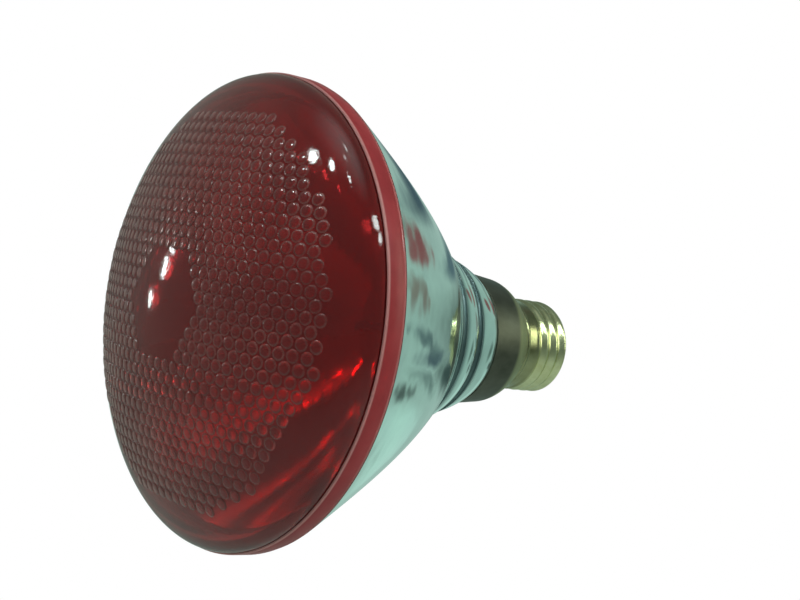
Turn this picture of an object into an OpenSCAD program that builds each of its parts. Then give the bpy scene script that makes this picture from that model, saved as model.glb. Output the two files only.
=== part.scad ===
// Sealed-beam infrared heat lamp: red pressed-glass lens, aluminised glass reflector,
// filament mount and a skirted medium screw base.
// Millimetres. The lamp's axis is Y: the lens faces -Y and the centre contact is at the origin.

/* [Lens] */
// Diameter of the flange round the lens
rim_d = 120.6; // [100:0.1:150]
// Height of the dome above the plane where lens and reflector meet
dome_h = 26.3; // [22:0.1:40]
// Width of the shoulder between the spherical middle and the flange's edge
shoulder_w = 10.3; // [8:0.1:16]
// Height of the edge of the spherical middle above the rim plane
shoulder_h = 14.1; // [10:0.1:17]
// Wall of the lens
lens_t = 3.2; // [2:0.1:4.5]
// Width of the straight band round the lens
flange_h = 4.8; // [3:0.1:6]
// Depth of the line between the band and the shoulder
flange_step = 0.5; // [0.2:0.1:1]
// How far the band stands out past the bowl
flange_proud = 0.3; // [0.15:0.05:0.6]

/* [Reflector] */
// Depth of the bowl, from the rim plane to the neck
bowl_depth = 49; // [40:0.5:60]
// Radius of the bowl where it meets the neck
neck_r = 26.6; // [24:0.1:32]
// Wall at the rim, measured along the radius
rim_wall = 4; // [3:0.1:6]
// Wall at the neck, measured along the radius
neck_wall = 3.3; // [2.5:0.1:5]
// How much thinner the wall is half-way down the bowl
waist = 0.9; // [0:0.1:1.5]
// Length of the tapered neck between bowl and skirt
neck_len = 19.9; // [16:0.1:26]
// Radius of the neck at its small end
neck_end_r = 18.9; // [17.5:0.1:22]
// Depth of the two rings round the neck
ring_depth = 0.7; // [0.2:0.1:1.2]
// Width of the two rings round the neck
ring_w = 1.6; // [0.8:0.1:2.5]
// Swell of the two bands between the rings
band_swell = 0.35; // [0:0.05:0.8]
// Thickness of the fused seam between lens and reflector
seal_t = 0.8; // [0.4:0.1:1.5]
// Thickness given to the aluminium film
film_t = 0.25; // [0.1:0.05:0.5]
// Thickness of the glass floor of the bowl
floor_t = 4.5; // [3:0.1:6]
// Radius of the flat floor
floor_r = 13.5; // [12:0.1:16]
// Radius of the collar that the skirt is cemented on
seat_r = 16.9; // [14:0.1:17]
// Length of that collar
seat_len = 8; // [5:0.1:9]
// Wall of that collar
seat_wall = 3.3; // [2:0.1:4]

/* [Base] */
// Height of the centre contact above the end of the screw shell
tip_h = 5.2; // [4:0.1:8]
// Length of the screw shell that shows
shell_len = 17.4; // [16:0.1:22]
// Diameter over the thread
thread_d = 26.2; // [21:0.05:32]
// Pitch of the thread: seven turns to the inch
thread_pitch = 3.629; // [3:0.001:4.5]
// Depth of the thread
thread_depth = 0.7; // [0.4:0.05:0.9]
// Length of the threaded stretch
thread_len = 11.6; // [9:0.1:12.5]
// Wall of the screw shell
shell_t = 0.5; // [0.3:0.05:0.8]
// How far the open end of the screw shell turns in
shell_turn_in = 1.75; // [0.5:0.05:2.5]
// Length of the skirt
skirt_len = 17.2; // [16:0.1:24]
// Wall of the skirt
skirt_t = 0.4; // [0.3:0.05:0.6]
// Length of the straight side of the skirt
skirt_side = 9.1; // [8.5:0.1:11]
// How much the straight side narrows
skirt_taper = 0.95; // [0.2:0.05:1.2]
// Radius of the contact disc
contact_r = 4.8; // [4:0.1:6]
// Height of the solder button
button_h = 0.6; // [0.4:0.1:1]
// Radius of the flat on the solder button
button_flat_r = 1.3; // [0.8:0.1:2]

/* [Mount] */
// Distance of each filament post from the axis
post_x = 7.5; // [6:0.1:8.5]
// Radius of a filament post
post_r = 0.8; // [0.5:0.05:1]
// Radius of a ferrule
ferrule_r = 3.2; // [2.5:0.1:3.5]
// Length of a ferrule
ferrule_len = 8; // [6:0.1:9]
// Wall of a ferrule
ferrule_t = 0.5; // [0.3:0.05:0.7]
// Radius of the filament wire as coiled
filament_wire_r = 0.2; // [0.12:0.01:0.3]
// Whole turns of the filament coil
filament_turns = 16; // [8:1:20]
// Length of each filament tail beside its post
filament_tail = 4; // [3:0.1:4.5]
// Radius of the glass bead that bridges the posts
bridge_r = 1.1; // [1.05:0.05:1.5]
// Radius of the sealed exhaust tube
exhaust_r = 3; // [2:0.1:3.5]
// Length of the sealed exhaust tube
exhaust_len = 8; // [5:0.1:9]
// Radius of the leads in the base
lead_r = 0.35; // [0.2:0.05:0.5]

/* [Fits] */
// Gap between a wire and the hole it passes through
wire_gap = 0.05; // [0.02:0.01:0.15]
// Gap between the skirt's mouth and the step on the neck
mouth_gap = 0.3; // [0.1:0.05:0.6]
// Gap between the screw shell and the skirt round its collar
collar_gap = 0.05; // [0.02:0.01:0.2]
// Gap between the screw shell and the insulator inside it
insulator_gap = 0.05; // [0.02:0.01:0.2]

/* [Hidden] */
$fn = 96;

// Stations along the axis, from the centre contact towards the lens
s_shell_end = tip_h;
s_shell_top = s_shell_end + shell_len;
s_skirt_mouth = s_shell_top + skirt_len;
s_neck_top = s_skirt_mouth + neck_len;
s_rim = s_neck_top + bowl_depth;
s_apex = s_rim + dome_h;
s_glass_rim = s_rim - seal_t;
s_seat_end = s_skirt_mouth - seat_len;

// Lens: one sphere in the middle, then a shoulder that turns into the flange
rim_r = rim_d / 2;
dome_r = rim_r - shoulder_w;
dome_rise = dome_h - shoulder_h;
dome_sphere_r = (dome_r * dome_r + dome_rise * dome_rise) / (2 * dome_rise);
dome_centre_s = s_apex - dome_sphere_r;
dome_slope = asin(dome_r / dome_sphere_r);
shoulder_end_r = rim_r - flange_step;
bore_r = rim_r - flange_proud - rim_wall;
inner_slope_r = (dome_sphere_r - lens_t) * sin(dome_slope);
inner_slope_s = dome_centre_s + (dome_sphere_r - lens_t) * cos(dome_slope);
inner_end_s = s_rim + 2 * flange_h / 3;

// Reflector: the mirror is a paraboloid through the bore at the rim and at the neck
neck_bore_r = neck_r - neck_wall;
four_f = (bore_r * bore_r - neck_bore_r * neck_bore_r) / (s_glass_rim - s_neck_top);
s_vertex = s_glass_rim - bore_r * bore_r / four_f;
s_focus = s_vertex + four_f / 4;
s_floor = s_vertex + floor_r * floor_r / four_f;
s_floor_back = s_floor - floor_t;
seat_bore_r = seat_r - seat_wall;
cavity_flare = 4;
cavity_r = seat_bore_r + cavity_flare;
neck_mid_r = (neck_r + neck_end_r) / 2;
// How much smaller the neck is just past each ring
ring_drop = [0.3, 0.2];
s_neck_mid = (s_neck_top + s_skirt_mouth) / 2;

// Base
shell_r = thread_d / 2;
skirt_mouth_r = neck_end_r;
skirt_side_r = skirt_mouth_r - skirt_taper;
s_skirt_bend = s_skirt_mouth - skirt_side;
shell_mean_r = shell_r - thread_depth / 2;
shell_end_r = shell_mean_r - shell_turn_in;
// The collar above the thread is a little smaller than the thread's crests
collar_step = 0.1;
shell_plain_r = shell_r - collar_step;
bead_h = 0.45;
bead_w = 0.7;
shell_tuck = 1.2;
contact_t = 0.5;
s_contact = button_h;
s_insulator = s_contact + contact_t;
puck_h = 4.3;
s_puck_top = s_shell_end + puck_h;
puck_r = shell_end_r - shell_t - insulator_gap;
stem_r = 1.5;
stem_bore_r = 1.1;
stem_len = 1.9;
s_stem_top = s_insulator + stem_len;
s_solder_top = s_stem_top - 0.4;

// Filament mount
coil_r = post_r + filament_wire_r;
s_coil = s_focus;
s_post_top = s_coil - coil_r - 0.2;
s_ferrule_top = s_floor - floor_t / 3;
s_ferrule_end = s_ferrule_top - ferrule_len;
braze_h = 0.8;
s_post_end = s_ferrule_end - braze_h - 1;
bridge_drop = 6;
s_bridge = max(s_coil - bridge_drop, s_floor + bridge_r + 0.5);
hook_r = 0.2;
hook_ring_r = coil_r + filament_wire_r + hook_r + wire_gap;

// Place on the skirt's dome where the side lead comes out
exit_t = 0.75;

function lerp(a, b, t) = a + (b - a) * t;
function bezier(a, b, c, n) = [for (i = [0:n]) let (t = i / n)
    (1 - t)^2 * a + 2 * t * (1 - t) * b + t^2 * c];
function bezier_slope(a, b, c, t) = (1 - t) * (b - a) + t * (c - b);
function reversed(v) = [for (i = [len(v) - 1:-1:0]) v[i]];
function shifted(v, by) = [for (p = v) p + by];
function unit(v) = v / norm(v);

// Arc of the spherical middle of the lens, from the axis outwards
function dome_arc(r, n) = [for (i = [0:n]) let (a = dome_slope * i / n)
    [r * sin(a), dome_centre_s + r * cos(a)]];
function mirror_r(s) = sqrt(four_f * (s - s_vertex));
function wall_at(s) = let (u = (s_glass_rim - s) / (s_glass_rim - s_neck_top))
    lerp(rim_wall, neck_wall, u) - 4 * waist * u * (1 - u);
function bowl_inside(n) = [for (i = [0:n]) let (s = lerp(s_glass_rim, s_floor, i / n))
    [mirror_r(s), s]];
function bowl_outside(n) = [for (i = [0:n]) let (s = lerp(s_glass_rim, s_neck_top, i / n))
    [mirror_r(s) + wall_at(s), s]];
// A band of the neck: a straight taper with a slight swell
function band(r0, s0, r1, s1, n) = [for (i = [0:n]) let (t = i / n)
    [lerp(r0, r1, t) + band_swell * sin(180 * t), lerp(s0, s1, t)]];

skirt_bend = [
    [skirt_side_r, s_skirt_bend],
    [skirt_side_r - 0.25, s_skirt_bend - 0.4 * (s_skirt_bend - s_shell_top)],
    [shell_plain_r + collar_gap + skirt_t, s_shell_top]
];
skirt_outside = concat(
    [[skirt_mouth_r, s_skirt_mouth]],
    bezier(skirt_bend[0], skirt_bend[1], skirt_bend[2], 10)
);
exit_p = bezier(skirt_bend[0], skirt_bend[1], skirt_bend[2], 20)[20 * exit_t];
exit_slope = unit(bezier_slope(skirt_bend[0], skirt_bend[1], skirt_bend[2], exit_t));
exit_angle = atan2(exit_slope[0], exit_slope[1]);

// Turns a shape that stands on its station axis into the lamp's frame
module on_axis() {
    rotate([90, 0, 0]) children();
}

module turned(points) {
    on_axis() rotate_extrude() polygon(points);
}

// A tube, a disc or a rod on the lamp's axis, shifted sideways by x
module rod(x, r, s0, s1) {
    on_axis() translate([x, 0, s0]) cylinder(r = r, h = s1 - s0, $fn = 32);
}

// A round wire through points in the plane of the posts, mitred at its bends
module wire(points, r) {
    sides = 12;
    last = len(points) - 1;
    rings = [for (i = [0:last]) let (
        before = unit(points[max(i, 1)] - points[max(i, 1) - 1]),
        after = unit(points[min(i, last - 1) + 1] - points[min(i, last - 1)]),
        along = unit(before + after),
        stretch = 1 / (along * before)
    ) [for (j = [0:sides - 1]) let (a = 360 * j / sides)
        let (across = r * stretch * cos(a))
        [points[i][0] + across * along[1], r * sin(a), points[i][1] - across * along[0]]]];
    on_axis() tube_mesh(rings);
}

// Closed tube mesh: rings of points joined in order, with flat ends
module tube_mesh(rings) {
    n = len(rings[0]);
    m = len(rings);
    sides = [for (i = [0:m - 2], j = [0:n - 1]) let (k = (j + 1) % n, a = i * n, b = (i + 1) * n)
        each [[a + j, a + k, b + k], [a + j, b + k, b + j]]];
    start = [for (j = [n - 1:-1:0]) j];
    end = [for (j = [0:n - 1]) (m - 1) * n + j];
    polyhedron([for (ring = rings) each ring], concat(sides, [start, end]), convexity = 10);
}

module lens() {
    outside = concat(
        dome_arc(dome_sphere_r, 14),
        bezier(
            [dome_r, s_rim + shoulder_h],
            [shoulder_end_r, s_rim + shoulder_h - (shoulder_end_r - dome_r) * tan(dome_slope)],
            [shoulder_end_r, s_rim + flange_h + flange_step],
            10
        ),
        [[shoulder_end_r - flange_step, s_rim + flange_h + flange_step / 2]],
        [[rim_r, s_rim + flange_h], [rim_r, s_rim]]
    );
    inside = concat(
        dome_arc(dome_sphere_r - lens_t, 14),
        bezier(
            [inner_slope_r, inner_slope_s],
            [bore_r, inner_slope_s - (bore_r - inner_slope_r) * tan(dome_slope)],
            [bore_r, inner_end_s],
            8
        ),
        [[bore_r, s_rim]]
    );
    color([0.45, 0.05, 0.06]) turned(concat(outside, reversed(inside)));
}

module rim_seal() {
    seal_r = rim_r - flange_proud;
    seal_lean = 0.1;
    color([0.55, 0.2, 0.2]) turned([
        [bore_r, s_glass_rim], [seal_r - seal_lean, s_glass_rim], [seal_r + seal_lean, s_rim], [bore_r, s_rim]
    ]);
}

module reflector() {
    outside = concat(
        bowl_outside(16),
        [[neck_r - ring_depth, s_neck_top - ring_w / 2]],
        band(neck_r - ring_drop[0], s_neck_top - ring_w, neck_mid_r, s_neck_mid + ring_w / 2, 6),
        [[neck_mid_r - ring_depth, s_neck_mid]],
        band(neck_mid_r - ring_drop[1], s_neck_mid - ring_w / 2, neck_end_r, s_skirt_mouth + mouth_gap, 6)
    );
    collar = [
        [seat_r, s_skirt_mouth + mouth_gap], [seat_r, s_seat_end], [seat_bore_r, s_seat_end],
        [seat_bore_r, s_skirt_mouth], [cavity_r, s_floor_back], [0, s_floor_back], [0, s_floor]
    ];
    color([0.62, 0.72, 0.68, 0.6]) difference() {
        turned(concat(outside, collar, reversed(bowl_inside(18))));
        for (x = [-post_x, post_x]) {
            rod(x, ferrule_r, s_floor_back - 1, s_ferrule_top);
            rod(x, ferrule_r - ferrule_t, s_floor_back - 1, s_floor + 1);
        }
        rod(0, exhaust_r / 2, s_floor_back - 1, s_floor + 1);
    }
}

module mirror_film() {
    inside = bowl_inside(18);
    color([0.8, 0.83, 0.82]) turned(concat(inside, reversed(shifted(inside, [-film_t, 0]))));
}

// Thin metal cup sealed into the floor, open towards the filament
module ferrule(x) {
    color([0.6, 0.6, 0.58]) difference() {
        rod(x, ferrule_r, s_ferrule_end, s_ferrule_top);
        rod(x, ferrule_r - ferrule_t, s_ferrule_end + ferrule_t, s_ferrule_top + 1);
        rod(x, post_r, s_ferrule_end - 1, s_ferrule_top);
    }
}

module braze(x) {
    color([0.72, 0.6, 0.35]) on_axis() translate([x, 0, 0]) rotate_extrude($fn = 48) polygon([
        [post_r, s_ferrule_end], [post_r + 1.2, s_ferrule_end], [post_r + 0.25, s_ferrule_end - braze_h],
        [post_r, s_ferrule_end - braze_h]
    ]);
}

module post(x) {
    color([0.7, 0.7, 0.68]) rod(x, post_r, s_post_end, s_post_top);
}

// One coil across the axis; each tail runs down beside its post
module filament() {
    steps = 9;
    sides = 5;
    turns = filament_turns + 0.5;
    count = turns * steps;
    coil = [for (i = [0:count]) let (a = 360 * i / steps)
        [lerp(-post_x, post_x, i / count), coil_r * cos(a), s_coil + coil_r * sin(a)]];
    first = [for (i = [0:2]) [-post_x, coil_r, s_coil - filament_tail * (1 - i / 3)]];
    last = [for (i = [1:3]) [post_x, -coil_r, s_coil - filament_tail * i / 3]];
    path = concat(first, coil, last);
    rings = [for (i = [0:len(path) - 1]) let (
        along = unit(path[min(i + 1, len(path) - 1)] - path[max(i - 1, 0)]),
        side = unit([1, 0, 0] - along[0] * along),
        out = cross(along, side)
    ) [for (j = [0:sides - 1]) let (a = -360 * j / sides)
        path[i] + filament_wire_r * (cos(a) * side + sin(a) * out)]];
    color([0.35, 0.35, 0.36]) on_axis() tube_mesh(rings);
}

module bridge_bead() {
    half = post_x + 1.8;
    color([0.75, 0.85, 0.8]) difference() {
        on_axis() translate([0, 0, s_bridge]) rotate([0, 90, 0]) {
            cylinder(r = bridge_r, h = 2 * half, center = true, $fn = 32);
            for (x = [-half, half]) translate([0, 0, x]) sphere(r = bridge_r, $fn = 32);
        }
        for (x = [-post_x, post_x]) rod(x, post_r, s_bridge - 3, s_bridge + 3);
        rod(0, hook_r, s_bridge, s_bridge + 3);
    }
}

module support_hook() {
    color([0.6, 0.6, 0.62]) {
        rod(0, hook_r, s_bridge, s_coil - hook_ring_r);
        on_axis() translate([0, 0, s_coil]) rotate([0, 90, 0])
            rotate_extrude($fn = 48) translate([hook_ring_r, 0]) circle(r = hook_r, $fn = 20);
    }
}

module exhaust_tube() {
    tip = exhaust_r * 0.8;
    bore = exhaust_r / 2;
    color([0.75, 0.85, 0.8]) turned(concat(
        [[bore, s_floor_back], [exhaust_r, s_floor_back]],
        [for (a = [0:15:90]) [exhaust_r * cos(a), s_floor_back - exhaust_len + tip - tip * sin(a)]],
        [[0, s_floor_back - exhaust_len + 1.5 * tip], [bore, s_floor_back - exhaust_len + 2 * tip]]
    ));
}

// Cement between the collar and the skirt, over the end of the collar
module basing_cement() {
    s_top = s_skirt_mouth - 0.5;
    s_low = max(s_seat_end - 1.6, s_skirt_bend + 0.2);
    wall = function (s) lerp(skirt_mouth_r, skirt_side_r, (s_skirt_mouth - s) / skirt_side) - skirt_t;
    color([0.8, 0.77, 0.68]) turned([
        [seat_r, s_top], [wall(s_top), s_top], [wall(s_low), s_low], [seat_bore_r + 0.5, s_low],
        [seat_bore_r + 0.5, min(s_seat_end, s_top - 1)], [seat_r, min(s_seat_end, s_top - 1)]
    ]);
}

module skirt() {
    inside = shifted(skirt_outside, [-skirt_t, 0]);
    color([0.36, 0.33, 0.22]) difference() {
        turned(concat(skirt_outside, reversed(inside)));
        at_exit() cylinder(r = lead_r + wire_gap, h = 4, center = true, $fn = 24);
    }
}

// Puts +Z along the outward normal where the side lead leaves the skirt, on the -X side
module at_exit() {
    on_axis() translate([-exit_p[0], 0, exit_p[1]]) rotate([0, -exit_angle - 90, 0]) children();
}

// Thin threaded shell: a plain collar with a bead, a right-hand rounded thread and a turned-in end
module screw_shell() {
    columns = 32;
    row_h = thread_pitch / 6;
    s_top = s_shell_top + shell_tuck;
    rows = ceil((s_top - s_shell_end) / row_h);
    s_thread_low = s_shell_end + 1.6;
    s_thread_high = s_thread_low + thread_len;
    ramp = function (x) let (t = max(0, min(1, x))) t * t * (3 - 2 * t);
    bead = function (s) bead_h * max(0, 1 - ((s - s_shell_top + bead_w) / bead_w)^2);
    radius = function (s, a) let (
        threaded = min(ramp((s - s_thread_low + 1.2) / 1.2), ramp((s_thread_high - s) / 1.8)),
        plain = lerp(shell_mean_r, shell_plain_r, ramp((s - s_thread_high + 1.8) / 1.8)),
        curl = shell_turn_in * (1 - ramp((s - s_shell_end) / 1.6)^0.5)
    ) plain + bead(s) - curl + threaded * thread_depth / 2 * cos(360 * s / thread_pitch - a);
    loop = function (s, inset) [for (j = [0:columns - 1])
        let (a = 360 * j / columns, r = radius(s, a) - inset)
        [r * cos(a), r * sin(a), s]];
    outside = [for (i = [0:rows]) loop(lerp(s_shell_end, s_top, i / rows), 0)];
    inside = [for (i = [rows:-1:0]) loop(lerp(s_shell_end, s_top, i / rows), shell_t)];
    rings = concat(outside, inside);
    m = len(rings);
    faces = [for (i = [0:m - 1], j = [0:columns - 1])
        let (k = (j + 1) % columns, a = i * columns, b = (i + 1) % m * columns)
        each [[a + j, b + k, a + k], [a + j, b + j, b + k]]];
    color([0.78, 0.7, 0.35]) on_axis() polyhedron([for (ring = rings) each ring], faces, convexity = 10);
}

// Black glass between the shell and the centre contact
module insulator() {
    lip_r = contact_r + 0.3;
    cone_r = lip_r + 1.3;
    cone_h = 0.8;
    edge = 0.6;
    color([0.06, 0.06, 0.07]) turned([
        [stem_r, s_insulator], [lip_r, s_insulator], [cone_r, s_insulator + cone_h],
        [puck_r - edge, s_shell_end - edge], [puck_r, s_shell_end], [puck_r, s_puck_top], [stem_r, s_puck_top]
    ]);
}

// Brass disc with a hollow stem that passes the centre lead
module contact_disc() {
    edge_w = 0.4;
    edge_h = 0.15;
    color([0.78, 0.7, 0.4]) turned([
        [stem_bore_r, s_contact], [contact_r - edge_w, s_contact], [contact_r, s_contact + edge_h],
        [contact_r, s_insulator], [stem_r, s_insulator], [stem_r, s_stem_top], [stem_bore_r, s_stem_top]
    ]);
}

// Solder button with a small flat; it also fills the stem round the lead
module contact_solder() {
    button_r = button_flat_r + 1.4;
    bulge = [for (a = [0:15:90]) [lerp(button_flat_r, button_r, sin(a)), button_h * (1 - cos(a))]];
    color([0.7, 0.7, 0.72]) turned(concat(
        [[0, 0]], bulge, [[stem_bore_r, s_contact], [stem_bore_r, s_solder_top], [0, s_solder_top]]
    ));
}

// From the right-hand post to the centre contact
centre_route = [
    [post_x, s_post_end], [post_x, s_post_end - 3.5], [0, s_shell_top - 4], [0, s_solder_top]
];
module centre_lead() {
    color([0.72, 0.45, 0.3]) wire(centre_route, lead_r);
}

// Glass sleeve over the thin fuse stretch of the centre lead
module fuse_sleeve() {
    sleeve_r = 1.2;
    s_low = s_puck_top;
    s_high = s_shell_top - 5;
    color([0.7, 0.8, 0.78]) turned([
        [lead_r, s_low], [sleeve_r, s_low], [sleeve_r, s_high], [lead_r, s_high]
    ]);
}

// From the left-hand post, out through the skirt's dome
exit_in = exit_p + 3.4 * [exit_slope[1], -exit_slope[0]];
side_route = [
    [-post_x, s_post_end], [-post_x, s_post_end - 3.5], [-exit_in[0] + 1.2, exit_in[1] + 3],
    [-exit_in[0], exit_in[1]], [-exit_p[0], exit_p[1]]
];
module side_lead() {
    color([0.72, 0.45, 0.3]) wire(side_route, lead_r);
}

module side_solder() {
    color([0.7, 0.7, 0.72]) difference() {
        at_exit() sphere(r = 1.6, $fn = 32);
        turned(concat([[0, s_skirt_mouth]], skirt_outside, [[0, s_shell_top]]));
    }
}

lens();
rim_seal();
reflector();
mirror_film();
ferrule(-post_x);  // ferrule_left
ferrule(post_x);  // ferrule_right
braze(-post_x);  // braze_left
braze(post_x);  // braze_right
post(-post_x);  // post_left
post(post_x);  // post_right
filament();
bridge_bead();
support_hook();
exhaust_tube();
basing_cement();
skirt();
screw_shell();
insulator();
contact_disc();
contact_solder();
centre_lead();
fuse_sleeve();
side_lead();
side_solder();
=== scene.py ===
# %% [markdown]
# # Red infrared heat lamp
# This notebook dresses the finished model of a sealed-beam heat lamp. The construction is already
# settled: every piece has its real size and place. Here each visible surface gets the shape detail
# and the finish of the real thing: pressed red glass with hundreds of small lenses, a bowl silvered
# on its inside, a dull brass skirt and a bright rolled brass screw shell.

# %% Load the finished pieces
import math

import bpy
from mathutils import Matrix, Vector


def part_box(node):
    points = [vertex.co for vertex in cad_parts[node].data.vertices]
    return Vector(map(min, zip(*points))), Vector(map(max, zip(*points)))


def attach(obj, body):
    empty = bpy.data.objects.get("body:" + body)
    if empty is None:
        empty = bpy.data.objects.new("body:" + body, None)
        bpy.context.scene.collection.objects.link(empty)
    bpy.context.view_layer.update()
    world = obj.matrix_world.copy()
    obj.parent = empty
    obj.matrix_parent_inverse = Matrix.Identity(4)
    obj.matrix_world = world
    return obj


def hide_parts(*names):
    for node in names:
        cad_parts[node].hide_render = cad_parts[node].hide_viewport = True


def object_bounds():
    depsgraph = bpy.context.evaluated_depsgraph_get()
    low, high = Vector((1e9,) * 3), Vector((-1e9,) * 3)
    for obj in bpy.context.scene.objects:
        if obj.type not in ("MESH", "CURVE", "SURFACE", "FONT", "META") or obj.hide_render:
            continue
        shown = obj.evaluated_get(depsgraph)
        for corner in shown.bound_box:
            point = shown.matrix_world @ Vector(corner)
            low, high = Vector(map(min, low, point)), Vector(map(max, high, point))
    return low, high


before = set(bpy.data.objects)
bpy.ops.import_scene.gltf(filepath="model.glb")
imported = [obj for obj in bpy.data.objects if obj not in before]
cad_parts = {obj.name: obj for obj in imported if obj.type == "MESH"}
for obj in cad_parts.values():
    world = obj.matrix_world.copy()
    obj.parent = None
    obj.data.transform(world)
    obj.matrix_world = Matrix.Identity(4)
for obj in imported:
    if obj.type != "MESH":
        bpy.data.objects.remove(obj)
cad_low, cad_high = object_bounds()
print("pieces:", len(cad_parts), "box:", cad_low, cad_high)

# %% [markdown]
# The lamp's axis is the Y axis. The lens looks along -Y and the centre contact is at the origin, so
# a place on the lamp is two numbers: a radius, and a station, which is the distance in front of the
# contact. Both are written in millimetres, and one function turns them into a point in metres. The
# stations are read from the boxes of the finished pieces, so the new meshes land exactly on them.

# %% Stations and radii from the pieces
MM = 0.001


def at(radius, station):
    """A point of an outline: millimetres from the axis, millimetres in front of the contact."""
    return Vector((radius * MM, -station * MM, 0))


def stations(node):
    """The stations where a piece starts and ends, from the contact towards the lens."""
    low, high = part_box(node)
    return -high.y / MM, -low.y / MM


def radius_of(node):
    """The largest radius of a piece that is round about the axis."""
    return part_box(node)[1].x / MM


S_RIM, S_APEX = stations("lens")
S_BASE_END, S_GLASS_RIM = stations("reflector")
S_SHELL_END, S_SHELL_TOP = stations("screw_shell")
S_NECK, S_SKIRT_MOUTH = stations("skirt")
RIM_R = radius_of("lens")
NECK_END_R = radius_of("skirt")
print("rim plane", round(S_RIM, 2), "apex", round(S_APEX, 2), "rim radius", round(RIM_R, 2))

# %% [markdown]
# The camera comes first, because every later choice is judged through it. It stands a little below
# the lamp's axis, in front and to the right, and is rolled a few degrees, as a hand-held shot is.
# A track-to constraint would keep it level, so the placement is built from three directions: back
# from the aim to the eye, right, and up.

# %% Camera
LAMP_MIDDLE = (cad_low + cad_high) / 2
EYE = Vector((0.2948, -0.3053, -0.0176))
AIM = LAMP_MIDDLE + Vector((-0.0043, 0.0111, 0.0087))
ROLLED_UP = Vector((0, -0.105, 0.994))


def look_from(eye, aim, up):
    """The placement of a camera or card that looks from eye to aim."""
    back = (eye - aim).normalized()
    right = up.cross(back).normalized()
    turn = Matrix((right, back.cross(right), back)).transposed().to_4x4()
    return Matrix.Translation(eye) @ turn


bpy.ops.object.camera_add()
camera = bpy.context.object
camera.name = "camera"
camera.data.lens = 62.8
camera.data.sensor_width = 36
camera.data.clip_start = 0.01
camera.matrix_world = look_from(EYE, AIM, ROLLED_UP)
bpy.context.scene.camera = camera
print("camera to lamp:", round((camera.location - LAMP_MIDDLE).length, 3), "m")

# %% [markdown]
# Glass and mirror show their surroundings more than themselves, so the studio is part of the work.
# The background is white to the camera, while the lamp sees a dim green room, which keeps the glass
# dark. A Light Path node makes that difference. It is staging only: no finish of the lamp uses it.

# %% Surroundings
ROOM_TINT = (0.62, 0.80, 0.74)
ROOM_STRENGTH = 0.22

scene = bpy.context.scene
scene.view_settings.view_transform = "Standard"
world = bpy.data.worlds.new("studio")
scene.world = world
world.use_nodes = True
tree = world.node_tree
tree.nodes.clear()


def background(colour, strength):
    """One evenly coloured background."""
    made = tree.nodes.new("ShaderNodeBackground")
    made.inputs["Color"].default_value = (*colour, 1)
    made.inputs["Strength"].default_value = strength
    return made.outputs[0]


ray = tree.nodes.new("ShaderNodeLightPath")
mix = tree.nodes.new("ShaderNodeMixShader")
out = tree.nodes.new("ShaderNodeOutputWorld")
tree.links.new(ray.outputs["Is Camera Ray"], mix.inputs["Fac"])
tree.links.new(background(ROOM_TINT, ROOM_STRENGTH), mix.inputs[1])
tree.links.new(background((1, 1, 1), 1.0), mix.inputs[2])
tree.links.new(mix.outputs[0], out.inputs["Surface"])
print("room strength:", ROOM_STRENGTH)

# %% [markdown]
# Lights could be lamps, but a lamp has a hard edge in a mirror. Each light is a glowing card
# instead, hidden from the camera and casting no shadow. Its brightness fades out towards the rim,
# and a little noise makes the rim uneven, as the edge of a real reflection is. A card's place is a
# direction from the lamp, and its size is an angle, because that is all that a reflection shows.

# %% Cards
CARD_DISTANCE = 1.4
RIM_WOBBLE = 4
CARD_HALF = 0.5


def heading(across, up):
    """A direction from the lamp, in degrees: across from straight behind it (+X positive), and up."""
    a, e = math.radians(across), math.radians(up)
    return Vector((math.sin(a) * math.cos(e), math.cos(a) * math.cos(e), math.sin(e)))


def soft_rim(nodes, links, soft, ragged):
    """1 in the middle of a card and 0 at its rim; soft is the width of the fade, 1 the whole card."""
    place = nodes.new("ShaderNodeTexCoord")
    wobble = nodes.new("ShaderNodeTexNoise")
    wobble.inputs["Scale"].default_value = RIM_WOBBLE
    wobble.inputs["Detail"].default_value = 2
    shift = nodes.new("ShaderNodeVectorMath")
    shift.operation = "MULTIPLY_ADD"
    shift.inputs[1].default_value = (ragged, ragged, 0)
    centred = nodes.new("ShaderNodeVectorMath")
    centred.operation = "SUBTRACT"
    centred.inputs[1].default_value = (ragged / 2, ragged / 2, 0)
    radius = nodes.new("ShaderNodeVectorMath")
    radius.operation = "LENGTH"
    fade = nodes.new("ShaderNodeMapRange")
    fade.interpolation_type = "SMOOTHSTEP"
    fade.inputs["From Min"].default_value = CARD_HALF
    fade.inputs["From Max"].default_value = CARD_HALF - soft / 2
    links.new(place.outputs["Object"], wobble.inputs["Vector"])
    links.new(wobble.outputs["Color"], shift.inputs[0])
    links.new(place.outputs["Object"], shift.inputs[2])
    links.new(shift.outputs[0], centred.inputs[0])
    links.new(centred.outputs[0], radius.inputs[0])
    links.new(radius.outputs["Value"], fade.inputs["Value"])
    return fade.outputs[0]


def glow(name, colour, strength, soft, ragged):
    """Light of one colour that fades to clear at the rim of its card."""
    mat = bpy.data.materials.new(name)
    mat.use_nodes = True
    nodes = mat.node_tree.nodes
    links = mat.node_tree.links
    nodes.clear()
    emit = nodes.new("ShaderNodeEmission")
    emit.inputs["Color"].default_value = (*colour, 1)
    emit.inputs["Strength"].default_value = strength
    clear_card = nodes.new("ShaderNodeBsdfTransparent")
    both = nodes.new("ShaderNodeMixShader")
    end = nodes.new("ShaderNodeOutputMaterial")
    links.new(soft_rim(nodes, links, soft, ragged), both.inputs["Fac"])
    links.new(clear_card.outputs[0], both.inputs[1])
    links.new(emit.outputs[0], both.inputs[2])
    links.new(both.outputs[0], end.inputs["Surface"])
    return mat


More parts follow.
